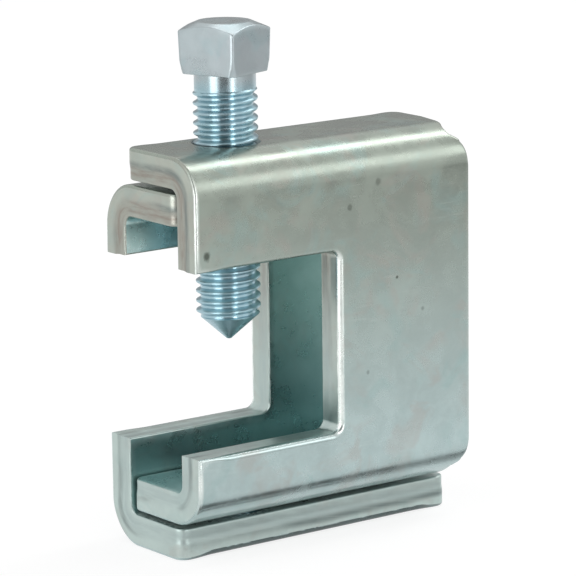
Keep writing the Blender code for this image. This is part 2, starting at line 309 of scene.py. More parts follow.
def mesh_object(name, grids, materials):
    """One closed mesh from several grids of points that meet along their borders.

    Each grid is (points of rows x columns x 3, flip, material number, {mark: values}). The
    marks are from_edge, the distance from an edge, worn, how far that edge gets a painted
    highlight (1) or a matt painted tone (-1), and through, the share of the way through the
    plate. They are 0 if not given.
    """
    points, faces, numbers = [], [], []
    marks = {"from_edge": [], "worn": [], "through": []}
    start = 0
    for place, flip, number, given in grids:
        rows, columns = place.shape[:2]
        quads = grid_faces(rows, columns, start, flip)
        points.append(place.reshape(-1, 3))
        faces.append(quads)
        numbers.append(np.full(len(quads), number))
        for label, values in marks.items():
            values.append(np.broadcast_to(given.get(label, 0.0), (rows, columns)).ravel())
        start += rows * columns
    mesh = bpy.data.meshes.new(name)
    mesh.from_pydata(np.concatenate(points).tolist(), [], np.concatenate(faces).tolist())
    mesh.polygons.foreach_set("material_index", np.concatenate(numbers).astype(np.int32))
    for label, values in marks.items():
        attribute = mesh.attributes.new(label, "FLOAT", "POINT")
        attribute.data.foreach_set("value", np.concatenate(values).astype(np.float32))
    bm = bmesh.new()
    bm.from_mesh(mesh)
    bmesh.ops.remove_doubles(bm, verts=bm.verts, dist=MERGE)
    bmesh.ops.dissolve_degenerate(bm, edges=bm.edges, dist=MERGE / 10)
    bm.to_mesh(mesh)
    bm.free()
    for material in materials:
        mesh.materials.append(material)
    shade_smoothly(mesh)
    obj = bpy.data.objects.new(name, mesh)
    bpy.context.scene.collection.objects.link(obj)
    return obj


# The stamping as a flat blank, in x and height v

def outline(x, v):
    """Points of a run of the outline, from x and v, of which one may be a single number."""
    return np.stack(np.broadcast_arrays(x, v), axis=1)


def corner_arc(before, corner, after, radius):
    """Points of the arc that rounds a corner.

    The centre lies on the bisector at radius / sin(half angle) from the corner, and the arc
    turns from one tangent point to the other.
    """
    corner = np.array(corner)
    to_before, to_after = np.array((before, after)) - corner
    to_before /= np.linalg.norm(to_before)
    to_after /= np.linalg.norm(to_after)
    half_angle = math.acos(float(to_before @ to_after)) / 2
    bisector = (to_before + to_after) / np.linalg.norm(to_before + to_after)
    centre = corner + bisector * radius / math.sin(half_angle)
    first = corner + to_before * radius / math.tan(half_angle) - centre
    last = corner + to_after * radius / math.tan(half_angle) - centre
    start = math.atan2(first[1], first[0])
    sweep = math.atan2(first[0] * last[1] - first[1] * last[0], float(first @ last))
    angle = start + sweep * np.linspace(0, 1, BACK_ARC_STEPS + 1)
    return centre + radius * np.stack((np.cos(angle), np.sin(angle)), axis=1)


def back_edge():
    """The back edge of the blank from its lower to its upper flange corner, (x, v) points."""
    rear = BACK - FLANGE_REAR_INSET
    run = []
    for fold, side in ((INNER_FOLD, -1), (OUTER_FOLD, 1)):
        waist = [
            (BACK, fold + side * WAIST_START, PLATE_REAR_RADIUS),
            (BACK - WAIST_DEPTH, fold + side * WAIST_BOTTOM, WAIST_RADIUS),
            (BACK - SHOULDER_DEPTH, fold + side * SHOULDER_START, SHOULDER_RADIUS),
            (rear, fold + side * SLANT_END, SLANT_END_RADIUS),
            (rear, fold + side * (BEND_LENGTH + FLANGE_FLAT), 0),
        ]
        run += waist if side > 0 else waist[::-1]
    points = [np.array([run[0][:2]])]
    for before, corner, after in zip(run, run[1:], run[2:]):
        if corner[2] > 0:
            points.append(corner_arc(before[:2], corner[:2], after[:2], corner[2]))
    points.append(np.array([run[-1][:2]]))
    return np.concatenate(points)


def flange_rows(fold, side):
    """Heights v of one end's grid rows, from the arm to the free edge, and corner insets.

    Rows are even along the arm, the fold and the flange; along the corner of radius r they
    lie at r * sin(angle), where the corner draws the edge in by r * (1 - cos(angle)).
    """
    radius = FLANGE_CORNER_RADIUS
    free = fold + side * (BEND_LENGTH + FLANGE_FLAT)
    fold_end = fold + side * BEND_LENGTH
    angle = quarter_turn(CORNER_ROWS)[1:]
    heights = np.concatenate((
        np.linspace(fold, fold_end, BEND_ROWS + 1),
        np.linspace(fold_end, free - side * radius, FLAT_ROWS + 1)[1:],
        free - side * radius * (1 - np.sin(angle)),
    ))
    inset = np.zeros(len(heights))
    inset[-CORNER_ROWS:] = radius * (1 - np.cos(angle))
    return heights, inset


def arm_rows(fold, edge):
    """Heights of the rows from a fold to the throat: even ones, then one at the edge."""
    margin = math.copysign(2 * THROAT_ROLL, edge - fold)
    return np.append(np.linspace(fold, edge - margin, ARM_ROWS - 1), edge)


def throat_curves():
    """The throat's edge as x and its rise over the lower arm, and the spine as x and v.

    The edge and the spine share a corner's arc of radius r at its diagonal. At an angle from
    the edge's end of the arc it lies r * (1 - cos(angle)) in from the edge's line and
    r * (1 - sin(angle)) from the spine's, and from the spine's end the other way round.
    """
    angle = np.linspace(0, math.pi / 4, THROAT_ARC_STEPS + 1)
    close = THROAT_CORNER_RADIUS * (1 - np.cos(angle))
    far = THROAT_CORNER_RADIUS * (1 - np.sin(angle))
    edge_x = np.concatenate((
        np.linspace(FRONT, SPINE_FACE - THROAT_CORNER_RADIUS, ARM_COLUMNS),
        SPINE_FACE - far[1:],
    ))
    edge_rise = np.concatenate((np.zeros(ARM_COLUMNS), close[1:]))
    spine_x = SPINE_FACE - np.concatenate((close[::-1], np.zeros(SPINE_ROWS - 1), close))
    spine_v = np.concatenate((
        ARM_HEIGHT + far[::-1],
        np.linspace(ARM_HEIGHT + THROAT_CORNER_RADIUS, THROAT_TOP - THROAT_CORNER_RADIUS,
                    SPINE_ROWS + 1)[1:-1],
        THROAT_TOP - far,
    ))
    return edge_x, edge_rise, spine_x, spine_v


def blank_path():
    """The closed outline of the blank and the runs of its points.

    Returns (points K x 2, {run name: point numbers}). Runs along a side go upwards and runs
    along an edge go from the front to the back.
    """
    back = back_edge()
    low_rows, low_inset = flange_rows(INNER_FOLD, -1)
    high_rows, high_inset = flange_rows(OUTER_FOLD, 1)
    edge_x, edge_rise, spine_x, spine_v = throat_curves()
    arc_inset = THROAT_CORNER_RADIUS * (1 - math.sqrt(0.5))

    # Rows from the fold to the throat, for the back side and for the front side; the last
    # gap is wider than the throat's rounding
    low_back = arm_rows(INNER_FOLD, ARM_HEIGHT + arc_inset)[1:]
    low_front = arm_rows(INNER_FOLD, ARM_HEIGHT)[1:]
    high_back = arm_rows(OUTER_FOLD, THROAT_TOP - arc_inset)[:0:-1]
    high_front = arm_rows(OUTER_FOLD, THROAT_TOP)[:0:-1]

    back_v = np.concatenate((low_rows[::-1], low_back, spine_v[1:-1], high_back, high_rows))
    back_inset = np.zeros(len(back_v))
    back_inset[:len(low_inset)] = low_inset[::-1]
    back_inset[-len(high_inset):] = high_inset
    back_x = np.interp(back_v, back[:, 1], back[:, 0]) - back_inset
    low_v = np.concatenate((low_rows[::-1], low_front))
    low_x = FRONT + np.concatenate((low_inset[::-1], np.zeros(ARM_ROWS - 1)))
    high_v = np.concatenate((high_front, high_rows))
    high_x = FRONT + np.concatenate((np.zeros(ARM_ROWS - 1), high_inset))

    # Free edges have a point for each column of the throat's edge and of the spine
    share = np.concatenate((
        (edge_x - FRONT) / (BACK - FRONT),
        np.linspace((edge_x[-1] - FRONT) / (BACK - FRONT), 1, SPINE_COLUMNS + 1)[1:],
    ))
    low_edge_x = low_x[0] + (back_x[0] - low_x[0]) * share
    high_edge_x = high_x[-1] + (back_x[-1] - high_x[-1]) * share

    pieces = [
        ("back", outline(back_x, back_v)),
        ("top", outline(high_edge_x, high_v[-1])[::-1]),
        ("front_high", outline(high_x, high_v)[::-1]),
        ("throat_high", outline(edge_x, THROAT_TOP - edge_rise)),
        ("spine", outline(spine_x, spine_v)[::-1]),
        ("throat_low", outline(edge_x, ARM_HEIGHT + edge_rise)[::-1]),
        ("front_low", outline(low_x, low_v)[::-1]),
        ("bottom", outline(low_edge_x, low_v[0])),
    ]
    points, runs = [], {}
    count = 0
    for name, run in pieces:
        # Each run starts at the point where the one before it ended
        first = count - 1 if count else 0
        new = run[1:] if count else run
        points.append(new)
        count += len(new)
        runs[name] = np.arange(first, first + len(run))
    path = np.concatenate(points)[:-1]
    runs["bottom"][-1] = 0
    for name in ("top", "front_high", "spine", "throat_low", "front_low"):
        runs[name] = runs[name][::-1]
    return path, runs


def inward_steps(path):
    """For each point, the step that keeps a line parallel to the path at unit distance.

    It is the sum of the two neighbouring unit normals over one plus their dot product.
    """
    ahead = np.roll(path, -1, axis=0) - path
    ahead /= np.linalg.norm(ahead, axis=1)[:, None]
    normal = np.stack((-ahead[:, 1], ahead[:, 0]), axis=1)
    before = np.roll(normal, 1, axis=0)
    return (normal + before) / (1 + (normal * before).sum(axis=1))[:, None]


def folded(x, depth, v):
    """Places of blank points (x, depth from the outer face, v) on the folded near half.

    Past the start of a fold a point turns about the fold's centre, at the outside radius less
    its depth, by its distance along the neutral fibre over the neutral radius; past the end
    of the fold it runs straight on towards the other plate.
    """
    top = v > HEIGHT / 2
    fold = np.where(top, OUTER_FOLD, INNER_FOLD)
    side = np.where(top, 1.0, -1.0)
    past = np.maximum(0, side * (v - fold))
    angle = np.minimum(past, BEND_LENGTH) / NEUTRAL_RADIUS
    radius = BEND_OUTSIDE_RADIUS - depth
    inward = BEND_OUTSIDE_RADIUS - radius * np.cos(angle) + np.maximum(0, past - BEND_LENGTH)
    height = fold + side * radius * np.sin(angle)
    z = np.where(past > 0, height, v)
    return np.stack(np.broadcast_arrays(x, inward - OUTER_FACE, z), axis=-1)


def coons_patch(left, right, bottom, top):
    """A flat grid between four border curves.

    It is the blend of bottom and top, plus the blend of left and right, less the blend of
    the four corners.
    """
    u = ((bottom[:, 0] - bottom[0, 0]) / (bottom[-1, 0] - bottom[0, 0]))[None, :, None]
    w = ((right[:, 1] - right[0, 1]) / (right[-1, 1] - right[0, 1]))[:, None, None]
    across = (1 - w) * bottom[None] + w * top[None]
    upward = (1 - u) * left[:, None] + u * right[:, None]
    corners = ((1 - w) * ((1 - u) * bottom[0] + u * bottom[-1])
               + w * ((1 - u) * top[0] + u * top[-1]))
    return across + upward - corners


def face_patches(loop, runs):
    """The three patches inside one loop parallel to the outline: lower arm, spine, upper arm."""
    back = loop[runs["back"]]
    low = len(runs["front_low"]) - 1
    high = len(runs["back"]) - len(runs["front_high"])
    share = np.linspace(0, 1, SPINE_COLUMNS + 1)[:, None]
    low_line = loop[runs["spine"][0]] * (1 - share) + back[low] * share
    high_line = loop[runs["spine"][-1]] * (1 - share) + back[high] * share
    low_top = np.concatenate((loop[runs["throat_low"]], low_line[1:]))
    high_bottom = np.concatenate((loop[runs["throat_high"]], high_line[1:]))
    return [
        coons_patch(loop[runs["front_low"]], back[:low + 1], loop[runs["bottom"]], low_top),
        coons_patch(loop[runs["spine"]], back[low:high + 1], low_line, high_line),
        coons_patch(loop[runs["front_high"]], back[high:], high_bottom, loop[runs["top"]]),
    ]


def edge_profile(roll):
    """Profile of the cut edge round the outline, for edges whose outer rounding is `roll`.

    A quarter round, the smooth band, the torn band that draws back behind it by a smooth
    step, and a small round at the inner face. Returns the inset from the outline and the
    depth from the outer face, one row for each edge, and how torn each point is.
    """
    turn = quarter_turn(ROLL_STEPS)
    inner = quarter_turn(INNER_EDGE_STEPS)
    tear = np.linspace(BURNISH_END, PLATE - INNER_EDGE_RADIUS, TEAR_STEPS + 1)[1:-1]
    ramp = smooth_step(np.minimum(1, (tear - BURNISH_END) / TEAR_RAMP))
    tear_inset = TEAR_SETBACK * ramp
    inner_inset = tear_inset[-1] + INNER_EDGE_RADIUS * (1 - np.cos(inner))
    lower_inset = np.concatenate((np.zeros(SMOOTH_STEPS), tear_inset, inner_inset))
    lower_depth = np.concatenate((tear, PLATE - INNER_EDGE_RADIUS * (1 - np.sin(inner))))
    roll = roll[:, None]
    smooth = roll + (BURNISH_END - roll) * np.linspace(0, 1, SMOOTH_STEPS + 1)[1:]
    every = np.ones_like(roll)
    inset = np.concatenate((roll * (1 - np.sin(turn)), every * lower_inset), axis=1)
    depth = np.concatenate((roll * (1 - np.cos(turn)), smooth, every * lower_depth), axis=1)
    torn = np.zeros(inset.shape[1])
    torn[ROLL_STEPS + 1 + SMOOTH_STEPS:-len(inner)] = ramp
    return inset, depth, torn


def edge_marks(path, edge_light, points):
    """Marks of points of the blank: distance from the nearest outline point, and its painted edge
    light.
    """
    gap = np.linalg.norm(points.reshape(-1, 1, 2) - path[None], axis=2)
    shape = points.shape[:-1]
    return {"from_edge": gap.min(axis=1).reshape(shape),
            "worn": edge_light[gap.argmin(axis=1)].reshape(shape)}


def painted_edge_light(path, runs):
    """How far each point of the outline takes painted edge light, averaged over its neighbours.

    The spine and the fronts get a painted highlight, the throat's edges and the back a faint one,
    and the free edges a matt painted tone. The highlight fades in a straight line over the first
    half of a fold.
    """
    kept = np.clip(1 - 2 * past_fold(path[:, 1]) / BEND_LENGTH, 0, 1)
    edge_light = np.zeros(len(path))
    for name, share in RUN_EDGE_LIGHT.items():
        edge_light[runs[name]] = share * kept[runs[name]] if share > 0 else share
    reach = np.arange(-EDGE_LIGHT_BLEND, EDGE_LIGHT_BLEND + 1)
    return edge_light[(np.arange(len(path))[:, None] + reach) % len(path)].mean(axis=1)


def drawn_in(path, steps, inset, depth, torn):
    """Inset of the cut edge's points with what the press leaves added to their profile.

    The torn band is roughened by a mean of sines along and across it, and a fold's outside
    draws in by half a sine over the fold.
    """
    lengths = np.linalg.norm(np.roll(path, -1, axis=0) - path, axis=1)
    along = np.concatenate(((0,), np.cumsum(lengths)[:-1]))[:, None]
    lengthwise, crosswise, sway = TEAR_SWAY
    ripple = np.sin(along * lengthwise + sway * np.sin(depth * crosswise))
    for lengthwise, crosswise in TEAR_WAVES:
        ripple += np.sin(along * lengthwise + depth * crosswise)
    rough = TEAR_ROUGHNESS * torn * (ripple / (1 + len(TEAR_WAVES)))
    past = np.maximum(past_fold(path[:, 1]), 0)
    on_side = (np.abs(steps[:, 0]) > FACING_ALONG) & (past < BEND_LENGTH)
    squeeze = FOLD_SQUEEZE * np.sin(math.pi * past / BEND_LENGTH) * on_side
    outside = np.clip(1 - depth / (NEUTRAL_DEPTH * PLATE), 0, 1)
    return inset + rough + squeeze[:, None] * outside


def rubbed_and_lit_marks(marks, v):
    """Marks of the inner face, whose outer flange is matt from rubbing on the other half and
    painted light, which lifts the shade of the gap between the halves.

    The rubbing is 1 on the flange and falls as a bell curve from the end of the fold.
    """
    before = np.maximum(0, OUTER_FOLD + BEND_LENGTH - v)
    rubbed_and_lit = np.exp(-(before / RUB_AND_LIGHT_BLEND) ** 2)
    return {"from_edge": marks["from_edge"] * (1 - rubbed_and_lit),
            "worn": marks["worn"] * (1 - rubbed_and_lit) - rubbed_and_lit}


def stamping_grids():
    """Grids of the near half: both faces as patches, and the cut edge carried round them.

    The outer rounding grows from EDGE_ROLL to THROAT_ROLL by a smooth step of the distance
    from the front or the back.
    """
    path, runs = blank_path()
    steps = inward_steps(path)
    from_end = np.minimum(path[:, 0] - FRONT, BACK - path[:, 0])
    share = smooth_step(np.clip((from_end - ROLL_START) / ROLL_BLEND, 0, 1))
    inset, depth, torn = edge_profile(EDGE_ROLL + (THROAT_ROLL - EDGE_ROLL) * share)
    pulled = drawn_in(path, steps, inset, depth, torn)
    loops = path[:, None] + steps[:, None] * pulled[..., None]
    closed = np.append(np.arange(len(path)), 0)
    rim = folded(loops[..., 0], depth, loops[..., 1])[closed]
    edge_light = painted_edge_light(path, runs)
    roll_end = ROLL_STEPS + 1
    roll_marks = {"from_edge": inset[closed, :roll_end], "worn": edge_light[closed, None]}
    cut_marks = {"through": depth[closed, ROLL_STEPS:] / PLATE}
    grids = [(rim[:, :roll_end], False, 0, roll_marks),
             (rim[:, ROLL_STEPS:], False, 2, cut_marks)]
    for patch in face_patches(loops[:, 0], runs):
        place = folded(patch[..., 0], 0.0, patch[..., 1])
        grids.append((place, False, 0, edge_marks(path, edge_light, patch)))
    # Inner faces: a faint painted highlight near all their edges
    inner_highlight = np.full(len(path), INNER_EDGE_HIGHLIGHT)
    for patch in face_patches(loops[:, -1], runs):
        place = folded(patch[..., 0], PLATE, patch[..., 1])
        marks = rubbed_and_lit_marks(edge_marks(path, inner_highlight, patch), patch[..., 1])
        grids.append((place, True, 1, marks))
    return grids


def turned_over(grids):
    """The same stamping turned half a turn about the clamp's length: (x, -y, height - z)."""
    return [(place * (1, -1, -1) + (0, 0, HEIGHT), *rest) for place, *rest in grids]


# The thread

def thread_grid(angles, low, high, root, crest, low_limit, high_limit):
    """A right-hand thread as a grid of height rows and angle columns, with its ends clipped.

    Row m lies at (m / THREAD_SAMPLES + angle / turn) pitches above a crest. The radius falls
    from the crest to the root along straight flanks with softened corners, and is held
    between two turned limits that are functions of height.
    """
    base = UNDER_HEAD + CREST_PHASE * THREAD_PITCH
    first = math.floor((low - base) / THREAD_PITCH) - 1
    turns = math.ceil((high - low) / THREAD_PITCH) + 3
    turned = np.arange(turns * THREAD_SAMPLES + 1) / THREAD_SAMPLES
    phase = np.abs((turned + 0.5) % 1 - 0.5)
    rise = np.clip((ROOT_START - phase) / (ROOT_START - CREST_HALF), 0, 1)
    rise = (1 - CREST_ROUNDING) * rise + CREST_ROUNDING * smooth_step(rise)
    radius = (root + (crest - root) * rise)[:, None]
    height = base + THREAD_PITCH * (first + turned[:, None] + angles[None] / math.tau)
    height = np.clip(height, low, high)
    upper = high_limit(height)
    radius = np.minimum(upper, np.maximum(np.minimum(low_limit(height), upper), radius))
    return round_axis(radius, angles, height)


def cap(ring, centre_height):
    """A two-row grid that closes a ring of points to a point on the screw's axis."""
    middle = np.broadcast_to((SCREW_X, 0.0, centre_height), ring.shape)
    return np.stack((ring, middle))


def tap_grids(low, high, flared):
    """Grids of a closed cutter with the internal thread's form, flared at one outer face.

    The flare is a cone of 45 degrees that reaches its radius at the outer face.
    """
    angles = np.linspace(0, math.tau, TAP_SIDES + 1)
    outer = low + TAP_OVERRUN if flared < 0 else high - TAP_OVERRUN

    def flare(height):
        return TAP_FLARE_RADIUS + flared * (height - outer)

    def unlimited(height):
        return np.full_like(height, math.inf)

    crest = THREAD_RADIUS + TAP_CLEARANCE
    wall = thread_grid(angles, low, high, crest - THREAD_DEPTH, crest, flare, unlimited)
    return [
        (wall, False, 3, {}),
        (cap(wall[0], low), True, 3, {}),
        (cap(wall[-1], high), False, 3, {}),
    ]


# The screw

def screw_angles():
    """Even angles for the thread, with more of them round the four corners of the head."""
    even = np.linspace(0, math.tau, SCREW_SIDES + 1)
    spread = HEAD_CORNER_SPREAD * HEAD_CORNER_RADIUS / HEAD_HALF
    near = np.linspace(-spread, spread, HEAD_CORNER_POINTS)
    corners = HEAD_TURN + math.pi / 4 + np.arange(4) * math.pi / 2
    extra = (corners[:, None] + near[None]).ravel() % math.tau
    return np.unique(np.round(np.concatenate((even, extra)), 7))


def square_radius(angles, half):
    """Distance from the axis to the side of a square of this half width, corners rounded.

    On a flat it is the half width over the cosine; on a corner it is where the ray leaves
    the corner's circle.
    """
    quarter = math.pi / 2
    turn = np.abs((angles - HEAD_TURN + quarter / 2) % quarter - quarter / 2)
    inner = half - HEAD_CORNER_RADIUS
    flat = half / np.cos(turn)
    on_flat = half * np.tan(turn) <= inner
    reach = inner * (np.cos(turn) + np.sin(turn))
    arc = reach + np.sqrt(np.maximum(0, HEAD_CORNER_RADIUS ** 2 - 2 * inner ** 2 + reach ** 2))
    return np.where(on_flat, flat, arc)


def crown_height(radius):
    """Height of the head's top: flat in the middle, then falling at the crown's slope."""
    return HEAD_HEIGHT - np.maximum(0, radius - CROWN_RADIUS) * math.tan(CROWN_SLOPE)


def shares(steps):
    """A column of even shares from 0 to 1."""
    return np.linspace(0, 1, steps + 1)[:, None]


def head_grid(angles):
    """Neck and head as one grid: each row is a ring, from the thread's top to the crown.

    Rings lie on the neck, the underside, a rounded foot, the sides, a rounded upper edge and
    the crown. The sides lean out by the draft, and near the foot their radius is at most that
    of a cone, which takes the corners' tips off.
    """
    flat = np.ones((1, len(angles)))
    quarter = quarter_turn(HEAD_EDGE_STEPS)[:, None]
    out = shares(UNDERSIDE_STEPS)[1:]
    up = shares(HEAD_SIDE_STEPS)[1:-1]

    def side(height):
        half = HEAD_HALF + HEAD_DRAFT * height / HEAD_HEIGHT
        return np.minimum(square_radius(angles[None], half), FOOT_RADIUS + FOOT_SLOPE * height)

    foot = side(np.zeros((1, 1))) - HEAD_FOOT_EDGE
    rim = side(crown_height(side(np.full((1, 1), HEAD_HEIGHT)))) - HEAD_EDGE
    rim_height = crown_height(rim)
    neck_end = NECK_RADIUS + NECK_FILLET
    side_height = HEAD_FOOT_EDGE + (rim_height - HEAD_EDGE - HEAD_FOOT_EDGE) * up
    crown = CROWN_RADIUS + (rim - CROWN_RADIUS) * (1 - shares(CROWN_STEPS)[1:])
    inner = CROWN_RADIUS * (1 - shares(TOP_STEPS)[1:])
    rings = [
        (NECK_RADIUS, np.linspace(-THREAD_TOP, -NECK_FILLET, NECK_STEPS + 1)[:, None]),
        (neck_end, 0.0),
        (neck_end + (foot - neck_end) * out, 0 * out),
        (foot + HEAD_FOOT_EDGE * np.sin(quarter[1:]), HEAD_FOOT_EDGE * (1 - np.cos(quarter[1:]))),
        (side(side_height), side_height),
        (rim + HEAD_EDGE * np.cos(quarter), rim_height - HEAD_EDGE * (1 - np.sin(quarter))),
        (crown, crown_height(crown)),
        (inner, HEAD_HEIGHT),
    ]
    rings = [np.broadcast_arrays(r * flat, z * flat) for r, z in rings]
    radius = np.concatenate([r for r, z in rings])
    height = UNDER_HEAD + np.concatenate([z for r, z in rings])
    return round_axis(radius, angles, height)


def screw_grids():
    """Grids of the screw: the threaded shank with its cone point, the neck and the head."""
    angles = screw_angles()
    thread_high = UNDER_HEAD - THREAD_TOP

    def run_out(height):
        return NECK_RADIUS - np.maximum(0, UNDER_HEAD - NECK_LENGTH - height)

    def envelope(height):
        point = POINT_FLAT_RADIUS + (height - TIP) * POINT_SLOPE
        return np.minimum(point, NECK_RADIUS + thread_high - height)

    shank = thread_grid(angles, TIP, thread_high, THREAD_RADIUS - THREAD_DEPTH, THREAD_RADIUS,
                        run_out, envelope)
    return [
        (shank, False, 1, {}),
        (cap(shank[0], TIP), True, 1, {}),
        (head_grid(angles), False, 0, {}),
    ]


# Materials

def new_nodes(name):
    """A node material, its tree and its Principled shader."""
    material = bpy.data.materials.new(name)
    material.use_nodes = True
    return material, material.node_tree, material.node_tree.nodes["Principled BSDF"]


def feed(tree, socket, value):
    """Give an input a value, or link it where the value is another node's output."""
    if isinstance(value, bpy.types.NodeSocket):
        tree.links.new(value, socket)
    else:
        socket.default_value = value


def add(tree, kind, inputs=(), **settings):
    """A node of a kind, with its properties set and its inputs fed."""
    node = tree.nodes.new(kind)
    for key, value in settings.items():
        setattr(node, key, value)
    for label, value in dict(inputs).items():
        feed(tree, node.inputs[label], value)
    return node


def new_group(name, inputs, results):
    """A node group with Position and other named inputs, and with named outputs.

    Each is written with a value of its kind: one number makes a number socket, three make a
    vector and four a colour. Returns the group, what its inputs give and where its outputs
    are fed.
    """
    group = bpy.data.node_groups.new(name, "ShaderNodeTree")
    for in_out, sockets in (("INPUT", {"Position": ORIGIN, **inputs}), ("OUTPUT", results)):
        for label, value in sockets.items():
            kind = {1: "Float", 3: "Vector", 4: "Color"}[np.size(value)]
            socket = group.interface.new_socket(
                label, in_out=in_out, socket_type=f"NodeSocket{kind}")
            socket.default_value = value
    inlet = group.nodes.new("NodeGroupInput")
    outlet = group.nodes.new("NodeGroupOutput")
    return group, inlet.outputs, outlet.inputs


def use_group(tree, group, position, inputs):
    """Place a group in a tree with a position and its own inputs, and give its outputs."""
    inputs = {"Position": position, **inputs}
    return add(tree, "ShaderNodeGroup", inputs, node_tree=group).outputs


def noise(tree, vector, scale, detail=3.0, roughness=0.55, distortion=0.0):
    """A noise texture, from 0 to 1."""
    inputs = {"Vector": vector, "Scale": scale, "Detail": detail, "Roughness": roughness,
              "Distortion": distortion}
    return add(tree, "ShaderNodeTexNoise", inputs).outputs["Fac"]


def span(tree, value, low, high, to_low=0.0, to_high=1.0, smooth=True):
    """Map a value from one range to another, clamped."""
    inputs = {"Value": value, "From Min": low, "From Max": high,
              "To Min": to_low, "To Max": to_high}
    form = "SMOOTHSTEP" if smooth else "LINEAR"
    return add(tree, "ShaderNodeMapRange", inputs, interpolation_type=form).outputs["Result"]


def math_node(tree, operation, first, second):
    """A sum, difference or the like of two numbers."""
    return add(tree, "ShaderNodeMath", {0: first, 1: second}, operation=operation).outputs[0]


def product(tree, first, second):
    """One number times another."""
    return math_node(tree, "MULTIPLY", first, second)


def vector_node(tree, operation, first, second):
    """A sum of two vectors, or with SCALE a vector times a number."""
    label = "Scale" if operation == "SCALE" else 1
    inputs = {0: first, label: second}
    return add(tree, "ShaderNodeVectorMath", inputs, operation=operation).outputs[0]


def mix_colour(tree, share, first, second):
    """The first colour, replaced by the second as far as the share goes."""
    inputs = {0: share, 6: first, 7: second}
    return add(tree, "ShaderNodeMix", inputs, data_type="RGBA").outputs[2]


def height_group():
    """A colour that goes from Low to High between two heights, in metres."""
    group, given, result = new_group(
        "height_blend", {"Low": GREY, "High": GREY, "From": 0.0, "To": 0.1}, {"Colour": GREY})
    height = add(group, "ShaderNodeSeparateXYZ", {0: given["Position"]}).outputs["Z"]
    share = span(group, height, given["From"], given["To"])
    feed(group, result["Colour"], mix_colour(group, share, given["Low"], given["High"]))
    return group


def patina_group():
    """Uneven zinc plating over a base colour.

    Broad clouds and small patches darken it, and two slow noises tint it warm and cool.
    """
    group, given, result = new_group(
        "zinc_patina",
        {"Base": GREY, "Dark": 0.8, "Warm": GREY, "Cool": GREY, "Tint Share": 0.3,
         "Patch Scale": 200.0},
        {"Colour": GREY, "Cloud": 0.0})
    position, dark, patch_scale = given["Position"], given["Dark"], given["Patch Scale"]
    broad_scale = product(group, patch_scale, BROAD_SCALE_SHARE)
    stain_scale = product(group, patch_scale, STAIN_SCALE_SHARE)
    cloud = span(group, noise(group, position, broad_scale, 2.0, 0.5, 0.6), 0.35, 0.68)
    patch = span(group, noise(group, position, patch_scale, 5.0, 0.65, 0.4), 0.34, 0.68)
    both = product(group, math_node(group, "ADD", cloud, patch), 0.5)
    lighter = product(group, both, math_node(group, "SUBTRACT", 1.0, dark))
    shade = math_node(group, "ADD", dark, lighter)
    colour = vector_node(group, "SCALE", given["Base"], shade)
    for label, shift in (("Warm", ORIGIN), ("Cool", COOL_SHIFT)):
        place = vector_node(group, "ADD", position, shift)
        stain = span(group, noise(group, place, stain_scale, 3.0, 0.6, 0.9), 0.5, 0.68)
        share = product(group, stain, given["Tint Share"])
        colour = mix_colour(group, share, colour, given[label])
    feed(group, result["Colour"], colour)
    feed(group, result["Cloud"], both)
    return group


def scuff_group():
    """Fine scratches: noise drawn out along one direction and cut to its thin crests."""
    group, given, result = new_group(
        "scuffs", {"Stretch": ALONG_X}, {"Mask": 0.0, "Grain": 0.0})
    mapping = {"Vector": given["Position"], "Scale": given["Stretch"]}
    drawn = add(group, "ShaderNodeMapping", mapping).outputs[0]
    lines = noise(group, drawn, SCRATCH_SCALE, 3.0, 0.6)
    gathered = noise(group, given["Position"], SCRATCHED_SCALE, 2.0)
    where = span(group, gathered, 0.42, 0.62)
    feed(group, result["Mask"], product(group, span(group, lines, 0.58, 0.72), where))
    feed(group, result["Grain"], lines)
    return group


def speck_group():
    """A dark speck of ragged outline round a centre."""
    group, given, result = new_group(
        "speck", {"Centre": ORIGIN, "Radius": MM}, {"Mask": 0.0})
    ends = {0: given["Position"], 1: given["Centre"]}
    gap = add(group, "ShaderNodeVectorMath", ends, operation="DISTANCE").outputs["Value"]
    ragged = span(group, noise(group, given["Position"], SPECK_SCALE, 3.0), 0.3, 0.7, 0.8, 1.3,
                  smooth=False)
    reach = math_node(group, "DIVIDE", product(group, gap, ragged), given["Radius"])
    feed(group, result["Mask"], span(group, reach, 0.35, 1.0, 1.0, 0.0))
    return group


def painted_edge_light_group():
    """Painted edge light along edges: full at the edge and gone one width away from it.

    Worn is 1 where the edge gets a painted highlight, which is patchy, and -1 where it gets a
    matt painted tone, which reaches twice as far.
    """
    group, given, result = new_group(
        "painted_edge_light", {"From Edge": 1.0, "Edge Lighting": 1.0, "Width": MM},
        {"Painted Highlight": 0.0, "Matt Painted Light": 0.0})
    widths = math_node(group, "DIVIDE", given["From Edge"], given["Width"])
    patchy = span(group, noise(group, given["Position"], WEAR_SCALE, 4.0), 0.3, 0.55, 0.6, 1.0)
    for label, full, reach in (("Painted Highlight", 1.0, 1.0), ("Matt Painted Light", -1.0, 2.0)):
        near = span(group, widths, 0.3 * reach, reach, 1.0, 0.0)
        mask = product(group, near, span(group, given["Edge Lighting"], 0.0, full, smooth=False))
        if label == "Painted Highlight":
            mask = product(group, mask, patchy)
        feed(group, result[label], mask)
    return group


